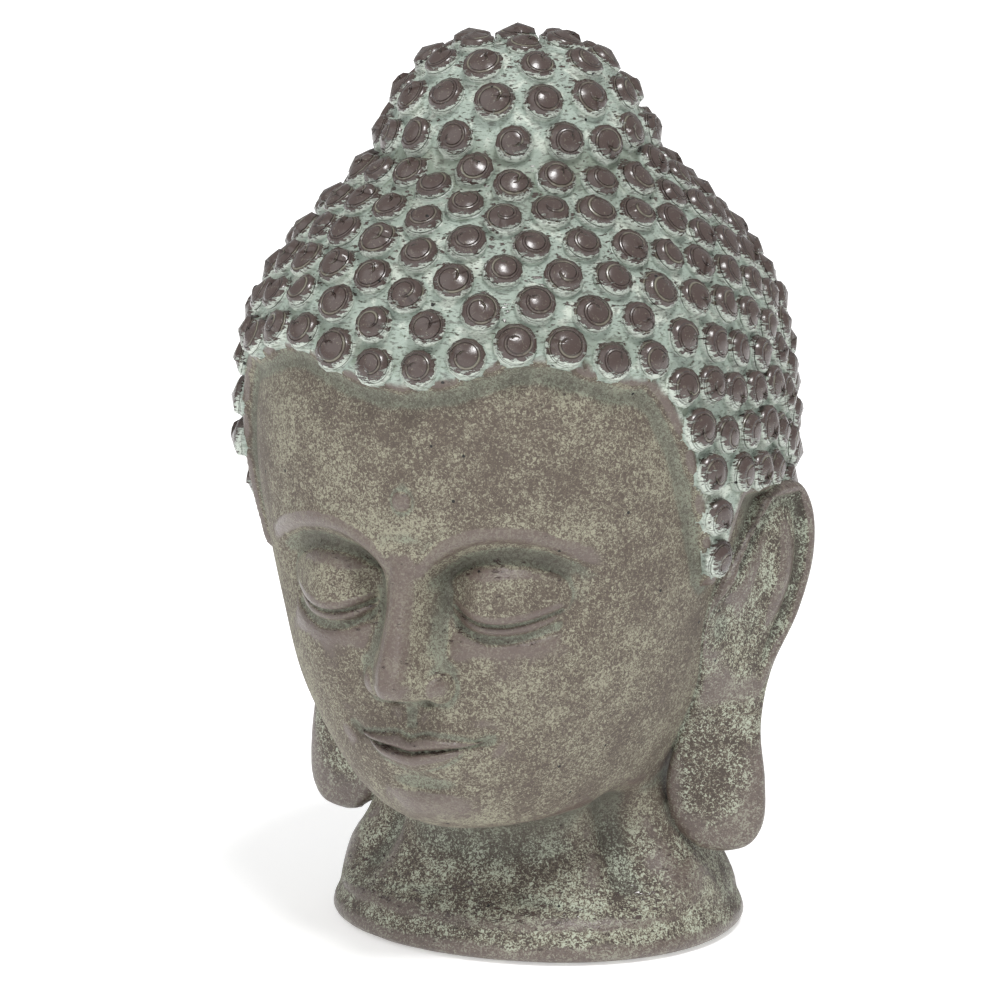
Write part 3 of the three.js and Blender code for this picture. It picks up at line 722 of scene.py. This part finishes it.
def skinPaint(tree, coat, color):  # bare brown paint with sage speckle, wash where it lies deep, and painted shade in umber in the deepest hollows
    level = add(tree, "Math", {0: coat["blotch"], 1: 0.35, 2: coat["grain"]}, **scaledSum)
    level = add(tree, "Math", {0: coat["cloud"], 1: 0.3, 2: level}, **scaledSum)
    speckle = add(tree, "MapRange", {0: level, 1: 0.77, 2: 1.0}, **soft)
    speckle = add(tree, "Math", {0: speckle, 1: coat["unworn"]}, **product)
    dark = add(tree, "MapRange", {0: level, 1: 0.81, 2: 0.65, 4: 0.45}, **soft)
    broken = add(tree, "MapRange", {0: coat["grain"], 1: 0.36, 2: 0.6, 3: 0.25, 4: 1})
    wash = add(tree, "Math", {0: coat["washed"], 1: broken}, **product)
    layer = add(tree, "Mix", {0: dark, 6: color["brown"], 7: color["umber"]}, **colored)
    layer = add(tree, "Mix", {0: coat["raised"], 6: layer, 7: color["plum"]}, **colored)
    layer = add(tree, "Mix", {0: speckle, 6: layer, 7: color["sage"]}, **colored)
    layer = add(tree, "Mix", {0: wash, 6: layer, 7: color["moss"]}, **colored)
    # painted shade: umber is mixed in where the skin lies deepest, as under the chin
    return add(tree, "Mix", {0: coat["deep"], 6: layer, 7: color["umber"]}, **colored)


def roughPatches(tree, coat, color, layer):  # patches of wash and of dark paint on the ears and the foot
    height = add(tree, "SeparateXYZ", {"Vector": coat["place"]}).node.outputs["Z"]
    foot = add(tree, "MapRange", {0: height, 1: 0.07, 2: 0.035}, **soft)
    rough = add(tree, "Math", {0: coat["ear"], 1: foot}, **greater)
    rough = add(tree, "Math", {0: rough, 1: coat["unworn"]}, **product)
    patch = add(tree, "Math", {0: coat["blotch"], 1: 0.5, 2: coat["grain"]}, **scaledSum)
    light = add(tree, "MapRange", {0: patch, 1: 0.77, 2: 0.87, 4: 0.75}, **soft)
    light = add(tree, "Math", {0: light, 1: rough}, **product)
    bare = add(tree, "MapRange", {0: patch, 1: 0.74, 2: 0.66, 4: 0.8}, **soft)
    bare = add(tree, "Math", {0: bare, 1: rough}, **product)
    layer = add(tree, "Mix", {0: light, 6: layer, 7: color["lichen"]}, **colored)
    return add(tree, "Mix", {0: bare, 6: layer, 7: color["umber"]}, **colored)


def scalpPaint(tree, coat, color):  # wash lies thick between the curls, with brown dragged through it, and the creases at the feet of the curls are darkened towards moss as painted shade
    thick = add(tree, "MapRange", {0: coat["blotch"], 1: 0.5, 2: 0.62}, **soft)
    flank = add(tree, "MapRange", {0: coat["cap"], 1: 0.02, 2: 0.25, 4: 0.8})
    thick = add(tree, "Math", {0: thick, 1: flank}, **greater)
    thinWashAndShade = add(tree, "MapRange", {0: coat["streak"], 1: 0.5, 2: 0.64, 4: 0.75}, **soft)
    # painted shade: the deeper a point lies in a crease, the more it is darkened towards moss
    shade = add(tree, "MapRange", {0: coat["crease"], 1: -0.1, 2: 0.7, 4: 0.85}, **soft)
    thinWashAndShade = add(tree, "Math", {0: thinWashAndShade, 1: shade}, **greater)
    scratch = add(tree, "MapRange", {0: coat["streak"], 1: 0.47, 2: 0.37, 4: 0.6}, **soft)
    layer = add(tree, "Mix", {0: thick, 6: color["mint"], 7: color["chalk"]}, **colored)
    # moss for the thin wash, and as painted shade in the creases
    layer = add(tree, "Mix", {0: thinWashAndShade, 6: layer, 7: color["moss"]}, **colored)
    return add(tree, "Mix", {0: scratch, 6: layer, 7: color["umber"]}, **colored)


def wornCaps(tree, coat):  # the curls are rubbed brown down to ragged edges, further down on top
    normal = tree.nodes.new("ShaderNodeNewGeometry").outputs["Normal"]
    upward = add(tree, "SeparateXYZ", {"Vector": normal}).node.outputs["Z"]
    upward = add(tree, "Math", {0: upward, 1: 0.4}, **product)
    ragged = add(tree, "Math", {0: coat["streak"], 1: 2.2, 2: coat["cap"]}, **scaledSum)
    ragged = add(tree, "Math", {0: ragged, 1: upward}, operation="ADD")
    return add(tree, "MapRange", {0: ragged, 1: 1.52, 2: 1.62}, **soft)


def coilLine(tree, coat):  # the groove of the coil, found from how far a point is out and round the curl
    step = curls["coilStep"]
    out = add(tree, "Math", {0: coat["coilX"], 1: coat["coilX"]}, **product)
    out = add(tree, "Math", {0: coat["coilY"], 1: coat["coilY"], 2: out}, **scaledSum)
    out = add(tree, "Math", {0: out}, operation="SQRT")
    turned = add(tree, "Math", {0: coat["coilY"], 1: coat["coilX"]}, operation="ARCTAN2")
    wound = add(tree, "Math", {0: out, 1: 1 / step, 2: -curls["coilStart"] / step}, **scaledSum)
    wound = add(tree, "Math", {0: turned, 1: -1 / (2 * math.pi), 2: wound}, **scaledSum)
    fromLine = add(tree, "Math", {0: wound, 1: 0.5}, operation="PINGPONG")
    line = add(tree, "MapRange", {0: fromLine, 1: 0.16, 2: 0.04}, **soft)
    offTip = add(tree, "MapRange", {0: out, 1: 0.15, 2: 0.24}, **soft)
    return add(tree, "Math", {0: line, 1: offTip}, **product)


def curlPaint(tree, coat, color):  # bark brown, with wash left in the coil
    kept = add(tree, "MapRange", {0: coat["blotch"], 1: 0.44, 2: 0.64, 4: 0.5}, **soft)
    pale = add(tree, "Math", {0: coat["line"], 1: kept}, **product)
    fleck = add(tree, "MapRange", {0: coat["grain"], 1: 0.6, 2: 0.7, 4: 0.35}, **soft)
    pale = add(tree, "Math", {0: pale, 1: fleck}, **greater)
    return add(tree, "Mix", {0: pale, 6: color["bark"], 7: color["sage"]}, **colored)


def surfaceRelief(tree, coat):  # in millimetres; worn paint is nearly smooth
    relief = add(tree, "Math", {0: coat["grain"], 1: castStone["grainRelief"]}, **product)
    relief = add(tree, "Math", {0: coat["streak"], 1: castStone["streakRelief"], 2: relief}, **scaledSum)
    polished = add(tree, "Math", {0: coat["dome"], 1: -0.85, 2: 1}, **scaledSum)
    relief = add(tree, "Math", {0: relief, 1: polished}, **product)
    onDome = add(tree, "MapRange", {0: coat["cap"], 1: 0.1, 2: 0.3, 4: castStone["coilRelief"]})
    relief = add(tree, "Math", {0: coat["line"], 1: onDome, 2: relief}, **scaledSum)
    relief = add(tree, "Math", {0: coat["pit"], 1: castStone["pitRelief"], 2: relief}, **scaledSum)
    return add(tree, "Bump", {"Height": relief, "Distance": 0.001, "Strength": 1})


def paintedCastStone():
    # cast stone, painted purplish brown, brushed with a pale verdigris wash and rubbed back, so that it
    # is matt and chalky in the hollows and worn to a low gloss on the curls and the raised edges; the deepest
    # hollows, the creases between the curls and the pinholes are also darkened as painted shade
    material = bpy.data.materials.new("paintedCastStone")
    material.use_nodes = True
    tree = material.node_tree
    color = {name: linear(code) for name, code in castStone["colors"].items()}
    place = tree.nodes.new("ShaderNodeTexCoord").outputs["Object"]
    painted = ("hair", "cap", "coilX", "coilY", "ear", "crease", "hollow")
    coat = {name: add(tree, "Attribute", {}, attribute_name=name).node.outputs["Fac"] for name in painted}
    coat |= {"place": place} | brushMarks(tree, place)  # coat holds what the layers of paint read
    coat |= wearMasks(tree, coat)
    bubble = add(tree, "TexVoronoi", {"Vector": place, "Scale": perMillimetre(castStone["bubbleGap"])})
    coat["pit"] = add(tree, "MapRange", {0: bubble, 1: 0.06, 2: 0.045}, **soft)  # pinholes left by air bubbles
    coat["dome"], coat["line"] = wornCaps(tree, coat), coilLine(tree, coat)

    skin = roughPatches(tree, coat, color, skinPaint(tree, coat, color))
    grown = add(tree, "Math", {0: coat["blotch"], 1: 0.8, 2: coat["hair"]}, **scaledSum)
    grown = add(tree, "MapRange", {0: grown, 1: 1.8, 2: 2.15}, **soft)  # a ragged edge along the hairline
    layer = add(tree, "Mix", {0: grown, 6: skin, 7: scalpPaint(tree, coat, color)}, **colored)
    layer = add(tree, "Mix", {0: coat["dome"], 6: layer, 7: curlPaint(tree, coat, color)}, **colored)
    # painted shade: the pinholes are painted near black
    layer = add(tree, "Mix", {0: coat["pit"], 6: layer, 7: color["pit"]}, **colored)
    worn = add(tree, "Math", {0: coat["dome"], 1: coat["raised"]}, **greater)
    roughness = add(tree, "MapRange", {0: worn, 1: 0, 2: 1, 3: castStone["mattRoughness"],
                                       4: castStone["wornRoughness"]})
    surface = tree.nodes["Principled BSDF"]
    tree.links.new(layer, surface.inputs["Base Color"])
    tree.links.new(roughness, surface.inputs["Roughness"])
    tree.links.new(surfaceRelief(tree, coat), surface.inputs["Normal"])
    surface.inputs["Specular IOR Level"].default_value = 0.7
    return material


def mattWhitePaint():  # emulsion paint on a studio floor, rolled on: it scatters light evenly, with no gloss
    material = bpy.data.materials.new("mattWhitePaint")
    material.use_nodes = True
    surface = material.node_tree.nodes["Principled BSDF"]
    surface.inputs["Base Color"].default_value = linear("#fafafa")
    surface.inputs["Roughness"].default_value = 0.9
    surface.inputs["Emission Color"].default_value = (1, 1, 1, 1)
    surface.inputs["Emission Strength"].default_value = 0.42
    return material


head.data.materials.clear()
head.data.materials.append(paintedCastStone())
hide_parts("buddha_head")
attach(head, "root")

studio = {
    "floorSize": 120,
    "turn": 23.5,  # degrees that the camera stands round from the face, towards the left ear
    "rise": 11,
    "distance": 1.9,
    "aim": (-0.0072, -0.0025, 0.195),
    "lens": 155,
    "farthest": 200,
    # turn and rise of each light, spread, strength
    "suns": [(-35, 40, 50, 0.5), (42, 62, 15, 1.9), (12, 6, 60, 0.6)],
    "sky": 0.46,
}


def directionTo(turn, rise):
    turn, rise = math.radians(turn), math.radians(rise)
    return Vector((math.sin(turn) * math.cos(rise), -math.cos(turn) * math.cos(rise), math.sin(rise)))


def layFloor():
    bm = bmesh.new()
    bmesh.ops.create_grid(bm, x_segments=1, y_segments=1, size=studio["floorSize"] / 2)
    mesh = closeMesh(bm, bpy.data.meshes.new("floor"))
    mesh.materials.append(mattWhitePaint())
    newObject("floor", mesh)


def setLights():
    for number, (turn, rise, spread, strength) in enumerate(studio["suns"]):
        lamp = bpy.data.lights.new(f"softLight{number}", "SUN")
        lamp.energy, lamp.angle = strength, math.radians(spread)
        light = newObject(lamp.name, lamp)
        light.rotation_euler = directionTo(turn, rise).to_track_quat("Z", "Y").to_euler()
    world = bpy.data.worlds.new("studio")
    world.use_nodes = True
    world.node_tree.nodes["Background"].inputs["Color"].default_value = (1, 1, 1, 1)
    world.node_tree.nodes["Background"].inputs["Strength"].default_value = studio["sky"]
    bpy.context.scene.world = world
    bpy.context.scene.view_settings.view_transform = "Standard"


def placeCamera():
    lens = bpy.data.cameras.new("camera")
    lens.lens, lens.clip_end = studio["lens"], studio["farthest"]
    camera = newObject("camera", lens)
    away = directionTo(studio["turn"], studio["rise"])
    camera.location = Vector(studio["aim"]) + away * studio["distance"]
    camera.rotation_euler = away.to_track_quat("Z", "Y").to_euler()
    bpy.context.scene.camera = camera


layFloor()
setLights()
placeCamera()
report("studio")
